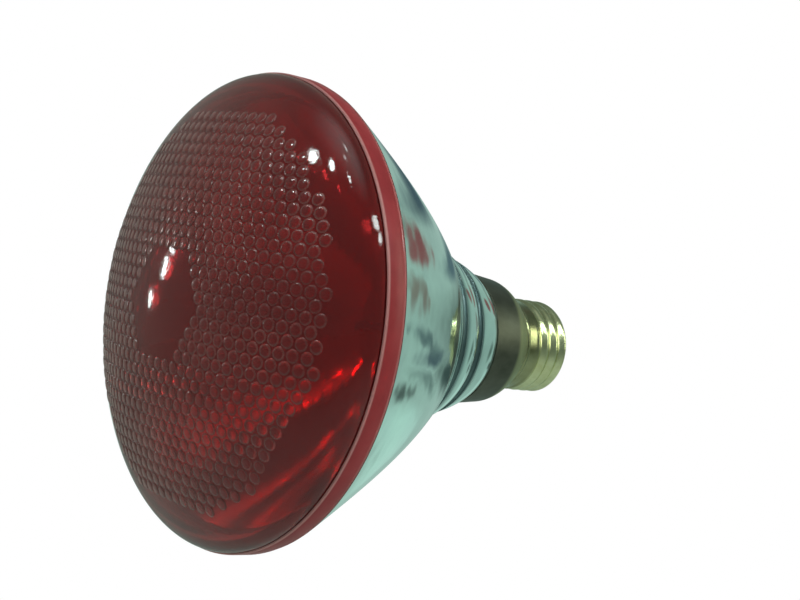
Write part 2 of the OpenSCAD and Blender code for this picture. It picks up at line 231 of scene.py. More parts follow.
def card(name, across, up, wide, tall, colour, strength=1.0, soft=0.0, ragged=0.0, lean=0.0, near=0.0):
    """A glowing card that faces the lamp. Its place, size and lean are in degrees, seen from it."""
    bpy.ops.mesh.primitive_grid_add(x_subdivisions=2, y_subdivisions=2, size=2 * CARD_HALF)
    panel = bpy.context.object
    panel.name = name
    distance = CARD_DISTANCE - near
    sight = heading(across, up)
    helper = Vector((0, 0, 1)) if abs(sight.z) < 0.9 else Vector((0, 1, 0))
    placed = look_from(LAMP_MIDDLE + sight * distance, LAMP_MIDDLE, helper)
    width = 2 * distance * math.tan(math.radians(wide / 2))
    height = 2 * distance * math.tan(math.radians(tall / 2))
    turn = Matrix.Rotation(math.pi, 4, "Y") @ Matrix.Rotation(math.radians(lean), 4, "Z")
    panel.matrix_world = placed @ turn @ Matrix.Diagonal((width, height, 1, 1))
    panel.data.materials.append(glow(name, colour, strength, soft, ragged))
    panel.visible_camera = False
    panel.visible_shadow = False
    return panel


print("cards stand", CARD_DISTANCE, "m from the lamp")

# %% [markdown]
# The small bright lights make the crisp sparkles on the shoulder and the middle of the lens. Each
# one's direction is the mirror direction at the place where its sparkle sits. A large soft card
# overhead lays the pale veil over the top of the glass, and a tall one stands for a window.

# %% Lights
COOL = (0.86, 1.0, 0.97)
# name: across, up, wide, tall, strength
SPARKLES = {
    "sparkle_front_top": (-124, 13, 3.0, 3.6, 28),
    "sparkle_front_middle": (-122, 9, 3.6, 4.8, 28),
    "sparkle_front_low": (-117, 3.5, 2.4, 4.0, 28),
    "sparkle_over_left": (-164, 41, 6, 5.5, 40),
    "sparkle_over_middle": (-177, 43, 4.5, 5, 40),
    "sparkle_over_right": (164, 45, 4.5, 5, 22),
    "glint_middle": (168, 54, 4, 4, 8),
    "glint_high": (164, 62, 7, 4, 11),
    "sparkle_side": (98, 40, 42, 8, 16),
    "sparkle_side_low": (80, 33, 36, 6, 15),
    "sparkle_back": (47, 24, 3.5, 3.5, 30),
}
for name, (across, up, wide, tall, strength) in SPARKLES.items():
    card(name, across, up, wide, tall, COOL, strength, soft=0.6, ragged=0.3)
card("soft_overhead", 160, 64, 60, 50, (0.95, 1.0, 0.97), 1.4, soft=1.0)
card("window", 37, 14, 15, 38, (0.92, 1.0, 0.78), 6.0, soft=0.5)

# %% [markdown]
# The bowl is a mirror, so what stands behind the lamp matters as much as its finish. A pale green
# wall fills most of it. In front of the wall, dim cards play the furniture of a room: a shelf,
# beams, a lamp with a red shade, a curtain. Each stands a little nearer than the one before, so
# that no two share a plane. All of this is staging, not part of the lamp.

# %% What the mirror sees
FIRST_NEAR = 0.04
NEXT_NEAR = 0.01
ROOM_RAGGED = 0.08
card("pale_wall", -28, 1, 100, 76, (0.35, 0.51, 0.455), soft=0.3)
# name: across, up, wide, tall, lean, soft, colour
ROOM = {
    "bright_floor": (-27, -14.5, 40, 8, 0, 0.6, (0.46, 0.70, 0.62)),
    "dark_room": (-33, 2.5, 56, 21, 0, 0.8, (0.085, 0.13, 0.115)),
    "dark_shelf": (-27, -4.5, 26, 7, -4, 0.8, (0.045, 0.075, 0.070)),
    "dark_beam": (-39, 16.6, 42, 6, 13, 0.8, (0.06, 0.105, 0.125)),
    "dark_bar": (-33, 11.2, 30, 5, 4, 0.8, (0.085, 0.145, 0.165)),
    "grey_shade": (-18, 19.5, 16, 4, -28, 0.8, (0.16, 0.21, 0.17)),
    "red_lamp": (-17.2, 15.5, 14, 4.6, -27, 0.5, (0.25, 0.09, 0.09)),
    "brown_box": (-10, 7.5, 5, 10, 14, 0.7, (0.21, 0.19, 0.16)),
    "dark_knob": (-15, -3.6, 10, 5, -8, 0.7, (0.075, 0.12, 0.135)),
    "dark_rail": (-18, -7.8, 20, 3, 10, 0.9, (0.14, 0.22, 0.20)),
    "dark_box": (-13.5, -10.3, 7, 4, 25, 0.7, (0.07, 0.10, 0.09)),
    "grey_post": (-11.5, -0.8, 14, 3.6, 30, 0.8, (0.10, 0.16, 0.16)),
    "red_cloth": (-5.5, 20, 8, 9, 0, 0.5, (0.25, 0.09, 0.09)),
    "red_shade": (-8, 38, 10, 12, 0, 0.5, (0.22, 0.09, 0.09)),
    "green_curtain": (-3, 30, 14, 9, 0, 0.7, (0.13, 0.20, 0.17)),
    "green_chest": (-2, -6, 12, 16, 0, 0.8, (0.12, 0.19, 0.16)),
}
for place, (name, (across, up, wide, tall, lean, soft, colour)) in enumerate(ROOM.items()):
    near = FIRST_NEAR + NEXT_NEAR * place
    card(name, across, up, wide, tall, colour, 1.0, soft, ROOM_RAGGED, lean, near)

# %% [markdown]
# The floor is a plain pale disc well below the lamp, which hangs in its socket. It looks white to
# the camera, like the background, and to the lamp it is a pale surface that sends light back up.

# %% Floor
FLOOR_DROP = 0.6
FLOOR_SIZE = 9


def start_clean():
    """Object mode, with nothing selected."""
    if bpy.context.mode != "OBJECT":
        bpy.ops.object.mode_set(mode="OBJECT")
    bpy.ops.object.select_all(action="DESELECT")


start_clean()
below = (0, 0, cad_low.z - FLOOR_DROP)
bpy.ops.mesh.primitive_circle_add(vertices=96, radius=FLOOR_SIZE, fill_type="NGON", location=below)
floor = bpy.context.object
floor.name = "floor"
pale = bpy.data.materials.new("pale_floor")
pale.use_nodes = True
pale_nodes = pale.node_tree.nodes
pale_links = pale.node_tree.links
pale_shader = pale_nodes["Principled BSDF"]
pale_shader.inputs["Base Color"].default_value = (0.8, 0.84, 0.82, 1)
pale_shader.inputs["Roughness"].default_value = 0.8
pale_white = pale_nodes.new("ShaderNodeEmission")
pale_ray = pale_nodes.new("ShaderNodeLightPath")
pale_mix = pale_nodes.new("ShaderNodeMixShader")
pale_links.new(pale_ray.outputs["Is Camera Ray"], pale_mix.inputs["Fac"])
pale_links.new(pale_shader.outputs[0], pale_mix.inputs[1])
pale_links.new(pale_white.outputs[0], pale_mix.inputs[2])
pale_links.new(pale_mix.outputs[0], pale_nodes["Material Output"].inputs["Surface"])
floor.data.materials.append(pale)
print("floor at z", round(below[2], 3))

# %% [markdown]
# Most pieces of a lamp are turned shapes. The outline is drawn the way it is done by hand: one
# vertex is extruded from point to point, and the outline is then spun round the axis. Spinning
# leaves doubles at the seam and on the axis, so they are merged before the normals are set. A
# Screw modifier would do it too, but the spin leaves a plain mesh that can be checked at once.

# %% Turned pieces
TURNS = 192
SAME_CORNER = 1e-7
SAME_SEAM = 1e-6
SMOOTH_BELOW = math.radians(35)


def turned(name, outline, steps=TURNS):
    """A turned piece from a closed outline of (radius, station) points."""
    start_clean()
    bpy.ops.mesh.primitive_plane_add(size=MM)
    piece = bpy.context.object
    piece.name = name
    piece.data.name = name
    bpy.ops.object.mode_set(mode="EDIT")
    bpy.ops.mesh.select_mode(type="VERT")
    bpy.ops.mesh.select_all(action="SELECT")
    bpy.ops.mesh.merge(type="CENTER")
    bpy.ops.transform.translate(value=at(*outline[0]))
    closed = outline + outline[:1]
    for here, there in zip(closed, closed[1:]):
        step = at(*there) - at(*here)
        bpy.ops.mesh.extrude_region_move(TRANSFORM_OT_translate={"value": tuple(step)})
    bpy.ops.mesh.select_all(action="SELECT")
    bpy.ops.mesh.remove_doubles(threshold=SAME_CORNER)
    bpy.ops.mesh.spin(steps=steps, angle=math.tau, center=(0, 0, 0), axis=(0, 1, 0))
    bpy.ops.mesh.select_all(action="SELECT")
    bpy.ops.mesh.remove_doubles(threshold=SAME_SEAM)
    bpy.ops.mesh.normals_make_consistent(inside=False)
    bpy.ops.object.mode_set(mode="OBJECT")
    bpy.ops.object.shade_smooth_by_angle(angle=SMOOTH_BELOW)
    print(name, "faces:", len(piece.data.polygons))
    return piece


def blend(a, b, t):
    """The value part of the way from a to b."""
    return a + (b - a) * t


def bent(a, b, c, steps):
    """A smooth bend from a to c that leaves and arrives along the lines through b."""
    points = []
    for i in range(steps + 1):
        t = i / steps
        before, middle, after = (1 - t) ** 2, 2 * t * (1 - t), t * t
        points.append(tuple(before * p + middle * q + after * r for p, q, r in zip(a, b, c)))
    return points


# %% [markdown]
# The lens outline is a shallow sphere in the middle, a shoulder that rolls over towards the side,
# a fine groove, and the straight band where the glass was fused to the bowl. The inside follows the
# outside at the thickness of the glass, so light bends twice, as in the real lens.

# %% Lens outline
SHOULDER_W = 10.3
SHOULDER_H = 14.1
LENS_WALL = 3.2
BAND_H = 4.8
GROOVE = 0.5
BORE_R = RIM_R - 4.3
DOME_R = RIM_R - SHOULDER_W
DOME_RISE = S_APEX - S_RIM - SHOULDER_H
SPHERE_R = (DOME_R**2 + DOME_RISE**2) / (2 * DOME_RISE)
SPHERE_S = S_APEX - SPHERE_R
DOME_ANGLE = math.asin(DOME_R / SPHERE_R)
SHOULDER_END_R = RIM_R - GROOVE
DOME_STEPS = 30


def dome_arc(radius):
    """The spherical middle of the lens, from the axis outwards."""
    angles = [DOME_ANGLE * i / DOME_STEPS for i in range(DOME_STEPS + 1)]
    return [(radius * math.sin(a), SPHERE_S + radius * math.cos(a)) for a in angles]


def lens_outside():
    """From the middle of the dome over the shoulder to the rim plane."""
    slope = math.tan(DOME_ANGLE)
    edge = (DOME_R, S_RIM + SHOULDER_H)
    corner = (SHOULDER_END_R, edge[1] - (SHOULDER_END_R - DOME_R) * slope)
    band_top = S_RIM + BAND_H
    outside = dome_arc(SPHERE_R)
    outside += bent(edge, corner, (SHOULDER_END_R, band_top + GROOVE), 18)[1:]
    groove = [
        (SHOULDER_END_R - 0.35, band_top + 0.36),
        (SHOULDER_END_R - GROOVE, band_top + 0.24),
        (SHOULDER_END_R - 0.35, band_top + 0.12),
        (SHOULDER_END_R + 0.1, band_top + 0.05),
    ]
    band = [
        (RIM_R - 0.12, band_top - 0.08),
        (RIM_R, band_top - 0.35),
        (RIM_R, S_RIM + 0.3),
        (RIM_R - 0.1, S_RIM + 0.08),
        (RIM_R - 0.3, S_RIM),
    ]
    return outside + groove + band


def lens_inside():
    """From the middle of the dome, one wall deeper, to the bore at the rim plane."""
    inner = SPHERE_R - LENS_WALL
    edge = (inner * math.sin(DOME_ANGLE), SPHERE_S + inner * math.cos(DOME_ANGLE))
    corner = (BORE_R, edge[1] - (BORE_R - edge[0]) * math.tan(DOME_ANGLE))
    inside = dome_arc(inner)
    inside += bent(edge, corner, (BORE_R, S_RIM + BAND_H * 2 / 3), 12)[1:]
    return inside + [(BORE_R, S_RIM)]


lens = turned("lens_glass", lens_outside() + lens_inside()[::-1])

# %% [markdown]
# The front is covered with small raised lenses on a honeycomb grid, left out in a six-sided field
# in the middle. A place on such a grid has two whole numbers, and the larger of the two and of
# their sum is the ring that it lies in, so the bare field is simply the first few rings. The grid
# is turned a few degrees, because the pattern was pressed at no special angle to the base.

# %% Honeycomb of small lenses
PITCH = 3.4
GRID_TURN = math.radians(-6.9)
CAP_R = 1.67
BARE_RINGS = 4
FIELD_R = DOME_R + 2.4


def honeycomb():
    """Places of the caps in the plane of the lens, in millimetres."""
    reach = int(DOME_R / PITCH) + 2
    turn = Matrix.Rotation(GRID_TURN, 2).transposed()
    places = []
    for i in range(-reach, reach + 1):
        for j in range(-reach, reach + 1):
            ring = max(abs(i), abs(j), abs(i + j))
            across = PITCH * (i + j / 2)
            high = PITCH * j * math.sqrt(3) / 2
            if ring > BARE_RINGS and math.hypot(across, high) <= FIELD_R - CAP_R:
                places.append(Vector((across, high)) @ turn)
    return places


spots = honeycomb()
feet = []
for spot in spots:
    start = Vector((spot.x * MM, 2 * cad_low.y, spot.y * MM))
    _, foot, outward, _ = lens.ray_cast(start, Vector((0, 1, 0)))
    feet.append((foot, outward))
print("small lenses:", len(feet))

# %% [markdown]
# Each small lens is a low round cap. It is modelled once, as a flattened sphere of a few dozen
# faces, and copies are set on the grid, each turned to stand square on the dome. The cap has two
# glasses from the start: a clear crown, and a paler side. A bump texture would be quicker, but it
# leaves the outline smooth, and the real lens has a knobbly edge.

# %% Caps
CAP_H = 0.25
CROWN_ABOVE = 0.7
start_clean()
bpy.ops.mesh.primitive_uv_sphere_add(segments=12, ring_count=8, radius=1)
cap = bpy.context.object
cap.name = "cap"
cap.data.materials.append(bpy.data.materials.new("cap_side_glass"))
cap.data.materials.append(bpy.data.materials.new("cap_crown_glass"))
for polygon in cap.data.polygons:
    polygon.material_index = 1 if polygon.center.z > CROWN_ABOVE else 0
copies = []
for foot, outward in feet:
    one = cap.copy()
    one.data = cap.data.copy()
    stand = outward.to_track_quat("Z", "X").to_matrix().to_4x4()
    size = Matrix.Diagonal((CAP_R * MM, CAP_R * MM, CAP_H * MM, 1))
    one.matrix_world = Matrix.Translation(foot) @ stand @ size
    bpy.context.collection.objects.link(one)
    copies.append(one)
bpy.data.objects.remove(cap)
start_clean()
for one in copies:
    one.select_set(True)
bpy.context.view_layer.objects.active = copies[0]
bpy.ops.object.join()
caps = bpy.context.object
bpy.ops.object.transform_apply(location=True, rotation=True, scale=True)
caps.name = "lens_caps"
print("caps:", len(copies), "faces:", len(caps.data.polygons))

# %% [markdown]
# A Boolean union makes the caps one glass with the lens. That matters for clear glass: light would
# otherwise meet two surfaces at each cap. The union carries the caps' materials over. It also
# leaves slivers, where a cut passes very near a corner, and points in the middle of a straight
# edge. Both shade badly, so points that almost touch are merged and the idle ones dissolved.

# %% Join the caps to the lens
CUT_SLIVER = 0.0005
lens.data.materials.append(bpy.data.materials.new("ruby_glass"))
lens.data.materials.append(bpy.data.materials.new("band_glass"))
start_clean()
bpy.context.view_layer.objects.active = lens
lens.select_set(True)
union = lens.modifiers.new("union", "BOOLEAN")
union.operation = "UNION"
union.solver = "MANIFOLD"
union.object = caps
union.material_mode = "TRANSFER"
bpy.ops.object.modifier_apply(modifier=union.name)
bpy.data.objects.remove(caps)
bpy.ops.object.mode_set(mode="EDIT")
bpy.ops.mesh.select_all(action="SELECT")
bpy.ops.mesh.remove_doubles(threshold=CUT_SLIVER * MM)
bpy.ops.mesh.dissolve_degenerate(threshold=CUT_SLIVER * MM)
bpy.ops.mesh.select_mode(type="VERT")
bpy.ops.mesh.select_all(action="DESELECT")
bpy.ops.object.mode_set(mode="OBJECT")
edge_count = [0] * len(lens.data.vertices)
for edge in lens.data.edges:
    for end in edge.vertices:
        edge_count[end] += 1
for vertex in lens.data.vertices:
    vertex.select = edge_count[vertex.index] == 2
bpy.ops.object.mode_set(mode="EDIT")
bpy.ops.mesh.dissolve_verts()
bpy.ops.object.mode_set(mode="OBJECT")
bpy.ops.object.shade_smooth_by_angle(angle=math.radians(30))
print("idle points:", edge_count.count(2), "glasses:", [m.name for m in lens.data.materials])
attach(lens, "root")
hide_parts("lens")

# %% [markdown]
# The bowl and neck are one pressed glass. Its outside runs from the rim down a deep curve to the
# neck, where two moulded rings part three bands. The mirror inside is a paraboloid, which sends the
# light of a filament at its focus straight forward. The outside is the mirror's curve plus a wall.

# %% Bowl curves
BOWL_DEPTH = 49.0
NECK_R = 26.6
RIM_WALL = 4.0
NECK_WALL = 3.3
WAIST = 0.9
RING_DEPTH = 0.7
RING_W = 1.6
BAND_SWELL = 0.35
FLOOR_R = 13.5
S_NECK_TOP = S_RIM - BOWL_DEPTH
S_NECK_MID = (S_NECK_TOP + S_SKIRT_MOUTH) / 2
NECK_MID_R = (NECK_R + NECK_END_R) / 2
FOUR_F = (BORE_R**2 - (NECK_R - NECK_WALL) ** 2) / (S_GLASS_RIM - S_NECK_TOP)
S_VERTEX = S_GLASS_RIM - BORE_R**2 / FOUR_F
S_FLOOR = S_VERTEX + FLOOR_R**2 / FOUR_F


def mirror_radius(station):
    """Radius of the mirror, which is a paraboloid."""
    return math.sqrt(FOUR_F * (station - S_VERTEX))


def bowl_side(steps):
    """The outside of the bowl, from the rim to the neck."""
    points = []
    for i in range(steps + 1):
        u = i / steps
        station = blend(S_GLASS_RIM, S_NECK_TOP, u)
        wall = blend(RIM_WALL, NECK_WALL, u) - 4 * WAIST * u * (1 - u)
        points.append((mirror_radius(station) + wall, station))
    return points


def mirror_side(steps):
    """The inside of the bowl, from the floor to the rim."""
    rows = [blend(S_FLOOR, S_GLASS_RIM, i / steps) for i in range(steps + 1)]
    return [(mirror_radius(station), station) for station in rows]


def cove(radius, station, steps):
    """A round groove of one ring, centred on a station."""
    angles = [math.pi * i / steps for i in range(1, steps)]
    return [
        (radius - RING_DEPTH * math.sin(a) ** 0.8, station + RING_W / 2 * math.cos(a))
        for a in angles
    ]


def neck_band(r0, s0, r1, s1, steps):
    """A band of the neck: a straight taper with a slight swell."""
    points = []
    for i in range(steps + 1):
        t = i / steps
        points.append((blend(r0, r1, t) + BAND_SWELL * math.sin(math.pi * t), blend(s0, s1, t)))
    return points


print("focus", round(FOUR_F / 4, 2), "mm in front of the mirror's vertex")

# %% [markdown]
# Now the whole outline, once round: down the outside of the bowl, over both rings, round the collar
# that stands inside the skirt, through the glass floor at the axis, and back up the mirror. The
# coves start a little inside the bands, so the rings have a crisp edge.

# %% Bowl
MOUTH_GAP = 0.3
SEAT_R = 16.9
SEAT_WALL = 3.3
SEAT_BORE_R = SEAT_R - SEAT_WALL
FLOOR_T = 4.5


def bowl_outline():
    """The closed outline of the bowl, the neck and the collar inside the skirt."""
    half = RING_W / 2
    top_end = (NECK_R - 0.35, S_NECK_TOP - RING_W)
    mid_start = (NECK_MID_R, S_NECK_MID + half)
    mid_end = (NECK_MID_R - 0.25, S_NECK_MID - half)
    neck_end = (NECK_END_R, S_SKIRT_MOUTH + MOUTH_GAP)
    outline = bowl_side(48)[:-1]
    outline += cove(NECK_R - 0.1, S_NECK_TOP - half, 8)
    outline += neck_band(*top_end, *mid_start, 12)
    outline += cove(NECK_MID_R - 0.1, S_NECK_MID, 8)
    outline += neck_band(*mid_end, *neck_end, 12)
    outline += [
        (SEAT_R, S_SKIRT_MOUTH + MOUTH_GAP),
        (SEAT_R, S_BASE_END),
        (SEAT_BORE_R, S_BASE_END),
        (SEAT_BORE_R, S_SKIRT_MOUTH),
        (SEAT_BORE_R, S_FLOOR - FLOOR_T),
        (0, S_FLOOR - FLOOR_T),
        (0, S_FLOOR),
    ]
    return outline + mirror_side(36)


bowl = turned("reflector_bowl", bowl_outline(), 256)
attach(bowl, "root")
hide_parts("reflector")

# %% [markdown]
# The fused seam is a thin bead of glass that the flame left between lens and bowl. It is turned
# from six points only: it is less than a millimetre wide.

# %% Seam
SEAM_R = RIM_R - 0.35
seam = turned(
    "rim_seam",
    [
        (BORE_R, S_GLASS_RIM),
        (SEAM_R - 0.15, S_GLASS_RIM),
        (SEAM_R + 0.05, blend(S_GLASS_RIM, S_RIM, 0.35)),
        (SEAM_R + 0.05, blend(S_GLASS_RIM, S_RIM, 0.7)),
        (SEAM_R - 0.05, S_RIM),
        (BORE_R, S_RIM),
    ],
)
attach(seam, "root")
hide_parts("rim_seal")

# %% [markdown]
# The skirt is drawn from thin brass: a hair of straight side, then a rounded dome down to the hole
# that the screw shell stands in. Its mouth is turned over a little, so the edge catches the light.

# %% Skirt
SKIRT_WALL = 0.4
SKIRT_SIDE = 9.1
SKIRT_SIDE_R = NECK_END_R - 0.95
COLLAR_R = 13.05


def skirt_outline():
    """The closed outline of the drawn brass skirt."""
    bend_s = S_SKIRT_MOUTH - SKIRT_SIDE
    side_end = (SKIRT_SIDE_R, bend_s)
    corner = (SKIRT_SIDE_R - 0.25, bend_s - 0.4 * (bend_s - S_NECK))
    outside = [
        (NECK_END_R - 0.12, S_SKIRT_MOUTH),
        (NECK_END_R, S_SKIRT_MOUTH - 0.15),
        (NECK_END_R - 0.03, S_SKIRT_MOUTH - 0.5),
    ]
    outside += bent(side_end, corner, (COLLAR_R + SKIRT_WALL, S_NECK), 20)
    inside = [(radius - SKIRT_WALL, station) for radius, station in outside]
    return outside + inside[::-1]


skirt = turned("brass_skirt", skirt_outline())
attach(skirt, "root")
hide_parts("skirt")

# %% [markdown]
# The screw shell is rolled from thin brass. A rolled thread is a rounded wave that winds round the
# shell, and it fades out at both ends. No spin makes that, so a plain shell is turned with many
# rows first, and its vertices are then moved in and out by the formula of the wave. Below it the
# edge curls in over the insulator, and above it a small bead stiffens the plain collar.

# %% Screw shell
SHELL_R = radius_of("screw_shell")
THREAD_PITCH = 3.629
THREAD_DEPTH = 0.7
THREAD_LOW = S_SHELL_END + 1.6
THREAD_HIGH = THREAD_LOW + 11.6
FADE_IN = 1.2
FADE_OUT = 1.8
SHELL_WALL = 0.5
TURN_IN = 1.75
CURL_H = 1.6
BEAD_H = 0.45
BEAD_W = 0.7
MEAN_R = SHELL_R - THREAD_DEPTH / 2


def ramp(x):
    """Rises smoothly from 0 to 1 as x goes from 0 to 1."""
    t = max(0.0, min(1.0, x))
    return t * t * (3 - 2 * t)


def shell_radius(station, angle):
    """Outside radius of the rolled shell at a station and an angle round the axis."""
    rises = ramp((station - THREAD_LOW + FADE_IN) / FADE_IN)
    falls = ramp((THREAD_HIGH - station) / FADE_OUT)
    to_collar = ramp((station - THREAD_HIGH + FADE_OUT) / FADE_OUT)
    plain = blend(MEAN_R, COLLAR_R - 0.05, to_collar)
    bead = BEAD_H * max(0, 1 - ((station - S_NECK + BEAD_W) / BEAD_W) ** 2)
    curl = TURN_IN * (1 - ramp((station - S_SHELL_END) / CURL_H) ** 0.5)
    wave = THREAD_DEPTH / 2 * math.cos(math.tau * station / THREAD_PITCH - angle)
    return plain + bead - curl + min(rises, falls) * wave


def shell_outline(rows):
    """A plain thin shell with many rows, outside and inside."""
    rows_s = [blend(S_SHELL_END, S_SHELL_TOP, i / rows) for i in range(rows + 1)]
    return [(SHELL_R, s) for s in rows_s] + [(SHELL_R - SHELL_WALL, s) for s in rows_s[::-1]]


shell = turned("threaded_shell", shell_outline(84), 144)
for vertex in shell.data.vertices:
    here = vertex.co / MM
    radius = math.hypot(here.x, here.z)
    angle = math.atan2(here.z, here.x)
    inset = SHELL_R - radius
    wanted = shell_radius(-here.y, angle) - inset
    vertex.co.x *= wanted / radius
    vertex.co.z *= wanted / radius
shell.data.update()
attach(shell, "root")
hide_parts("screw_shell")

# %% [markdown]
# Finishes come last. Each real surface has its own: they are node materials that read Object
# coordinates, so the pattern is fixed to the glass or the metal and needs no picture. A value that
# is the same all over goes on the shader's own socket. Only what really varies gets nodes: noise
# for dust, stains and ripples, and belts round the axis for what follows the lamp's stations.

# %% Finish, noise and colour
SHADER = "Principled BSDF"


def finish(name, **sockets):
    """A Principled material with uniform values set on the shader's own sockets."""
    mat = bpy.data.materials.get(name) or bpy.data.materials.new(name)
    mat.use_nodes = True
    shader = mat.node_tree.nodes[SHADER]
    for key, value in sockets.items():
        shader.inputs[key.replace("_", " ")].default_value = value
    return mat


def node(mat, kind, **settings):
    """Adds a node and sets its properties."""
    made = mat.node_tree.nodes.new(kind)
    for key, value in settings.items():
        setattr(made, key, value)
    return made


def join(mat, output, target):
    """Links an output to an input."""
    mat.node_tree.links.new(output, target)


def noise(mat, scale, detail=3.0, rough=0.5, stretch=(1, 1, 1)):
    """Noise in object space. scale is in cycles per metre."""
    place = node(mat, "ShaderNodeTexCoord")
    spread = node(mat, "ShaderNodeMapping")
    spread.inputs["Scale"].default_value = stretch
    made = node(mat, "ShaderNodeTexNoise")
    made.inputs["Scale"].default_value = scale
    made.inputs["Detail"].default_value = detail
    made.inputs["Roughness"].default_value = rough
    join(mat, place.outputs["Object"], spread.inputs["Vector"])
    join(mat, spread.outputs["Vector"], made.inputs["Vector"])
    return made.outputs["Fac"]


def colours(mat, source, stops):
    """A colour ramp from (position, colour) stops."""
    made = node(mat, "ShaderNodeValToRGB")
    band = made.color_ramp
    while len(band.elements) < len(stops):
        band.elements.new(0.5)
    for element, (place, colour) in zip(band.elements, stops):
        element.position = place
        element.color = (*colour, 1)
    join(mat, source, made.inputs["Fac"])
    return made.outputs["Color"]


def dress(target, mat):
    """Gives an object this one material."""
    target.data.materials.clear()
    target.data.materials.append(mat)


print("materials so far:", [mat.name for mat in lens.data.materials])

# %% [markdown]
# These helpers feed a pattern to one socket of the shader: its colour, its roughness or its normal.
# The belt is a mask that is 1 between two stations. It does for the painted shade round the rings
# and on the collar, the painted highlight on the band's edge and the golden belt of the skirt what a
# brush and a mask would do by hand, and it stays in place when the sizes change.

# %% Paint, rub, bump and belts


def paint(mat, colour):
    """Feeds a colour to the shader."""
    join(mat, colour, mat.node_tree.nodes[SHADER].inputs["Base Color"])


def rub(mat, source, low, high):
    """Feeds the shader a roughness that goes from low to high as the source goes from 0 to 1."""
    made = node(mat, "ShaderNodeMapRange")
    made.inputs["To Min"].default_value = low
    made.inputs["To Max"].default_value = high
    join(mat, source, made.inputs["Value"])
    join(mat, made.outputs["Result"], mat.node_tree.nodes[SHADER].inputs["Roughness"])


def bump(mat, source, strength, distance):
    """Feeds a height to the shader's normal. distance is in metres."""
    made = node(mat, "ShaderNodeBump")
    made.inputs["Strength"].default_value = strength
    made.inputs["Distance"].default_value = distance
    join(mat, source, made.inputs["Height"])
    join(mat, made.outputs["Normal"], mat.node_tree.nodes[SHADER].inputs["Normal"])


def belt(mat, station, half, fade):
    """1 on a belt round the lamp's axis, fading to 0 on both sides of it. All in millimetres."""
    place = node(mat, "ShaderNodeTexCoord")
    split = node(mat, "ShaderNodeSeparateXYZ")
    shift = node(mat, "ShaderNodeMath", operation="ADD")
    shift.inputs[1].default_value = station * MM
    size = node(mat, "ShaderNodeMath", operation="ABSOLUTE")
    edge = node(mat, "ShaderNodeMapRange", interpolation_type="SMOOTHSTEP")
    edge.inputs["From Min"].default_value = (half + fade) * MM
    edge.inputs["From Max"].default_value = half * MM
    join(mat, place.outputs["Object"], split.inputs[0])
    join(mat, split.outputs["Y"], shift.inputs[0])
    join(mat, shift.outputs[0], size.inputs[0])
    join(mat, size.outputs[0], edge.inputs["Value"])
    return edge.outputs["Result"]


def toned(mat, mask, under, tone, blend_type="MIX"):
    """Lays a tone over a colour where the mask is 1."""
    made = node(mat, "ShaderNodeMix", data_type="RGBA", blend_type=blend_type)
    colour_in = [socket for socket in made.inputs if socket.type == "RGBA"]
    colour_in[1].default_value = (*tone, 1)
    join(mat, mask, made.inputs["Factor"])
    join(mat, under, colour_in[0])
    return [socket for socket in made.outputs if socket.type == "RGBA"][0]


print("rim plane's belt would sit at", round(S_RIM, 2), "mm")

# %% [markdown]
# Ruby glass is nearly black-red where it is thick and bright red where light comes back through it,
# so most of its colour comes from transmission. A faint sheen is the dust on it. The crowns of the
# small lenses are the same glass a little rougher, and their sides are paler in colour.

# %% Red glass
RUBY = [(0.3, (0.61, 0.023, 0.027)), (0.75, (0.73, 0.031, 0.036))]
PALE_SIDES = [(0.35, (0.40, 0.085, 0.08)), (0.65, (0.58, 0.20, 0.18))]
DUST_TINT = (0.9, 0.72, 0.66, 1)


def ruby(name, stops, **sockets):
    """Clear dark red glass under a thin veil of dust."""
    mat = finish(name, IOR=1.5, Sheen_Roughness=0.45, Sheen_Tint=DUST_TINT, **sockets)
    paint(mat, colours(mat, noise(mat, 60), stops))
    bump(mat, noise(mat, 420, 2), 0.15, 0.0002)


ruby("ruby_glass", RUBY, Roughness=0.05, Transmission_Weight=0.85, Sheen_Weight=0.38)
ruby("cap_crown_glass", RUBY, Roughness=0.14, Transmission_Weight=0.82, Sheen_Weight=0.8)
ruby("cap_side_glass", PALE_SIDES, Roughness=0.22, Transmission_Weight=0.66, Sheen_Weight=0.25)
print("red glasses:", [mat.name for mat in lens.data.materials])

# %% [markdown]
# The band at the rim was ground and handled, so it is duller and lets little light through. A pale
# line along its front edge, next to the groove, is a painted highlight. Its faces are picked by
# their place: past the groove and near the rim.
# The seam's glass was melted by the flame and has gone milky.

# %% Band and seam
BAND = [(0.3, (0.47, 0.042, 0.050)), (0.75, (0.58, 0.058, 0.068))]
EDGE_HIGHLIGHT = (0.86, 0.34, 0.33)
dull = {"Roughness": 0.4, "Transmission_Weight": 0.2, "Specular_IOR_Level": 0.25}
band_red = finish("band_glass", IOR=1.5, **dull)
tint = colours(band_red, noise(band_red, 150), BAND)
# Painted highlight: a pale line round the band's front edge, next to the groove.
tint = toned(band_red, belt(band_red, S_RIM + BAND_H, 0.3, 0.5), tint, EDGE_HIGHLIGHT)
paint(band_red, tint)
bump(band_red, noise(band_red, 500, 2), 0.2, 0.0002)
band_slot = lens.data.materials.find("band_glass")
band_front = -(S_RIM + BAND_H + 0.1) * MM
band_inner = (RIM_R - 0.6) * MM
for polygon in lens.data.polygons:
    place = polygon.center
    if place.y > band_front and math.hypot(place.x, place.z) > band_inner:
        polygon.material_index = band_slot

seam_red = finish("seam_glass", Base_Color=(0.62, 0.17, 0.17, 1), Roughness=0.2, IOR=1.5)
bump(seam_red, noise(seam_red, 700, 2), 0.3, 0.0002)
dress(seam, seam_red)
print("band faces:", sum(p.material_index == band_slot for p in lens.data.polygons))
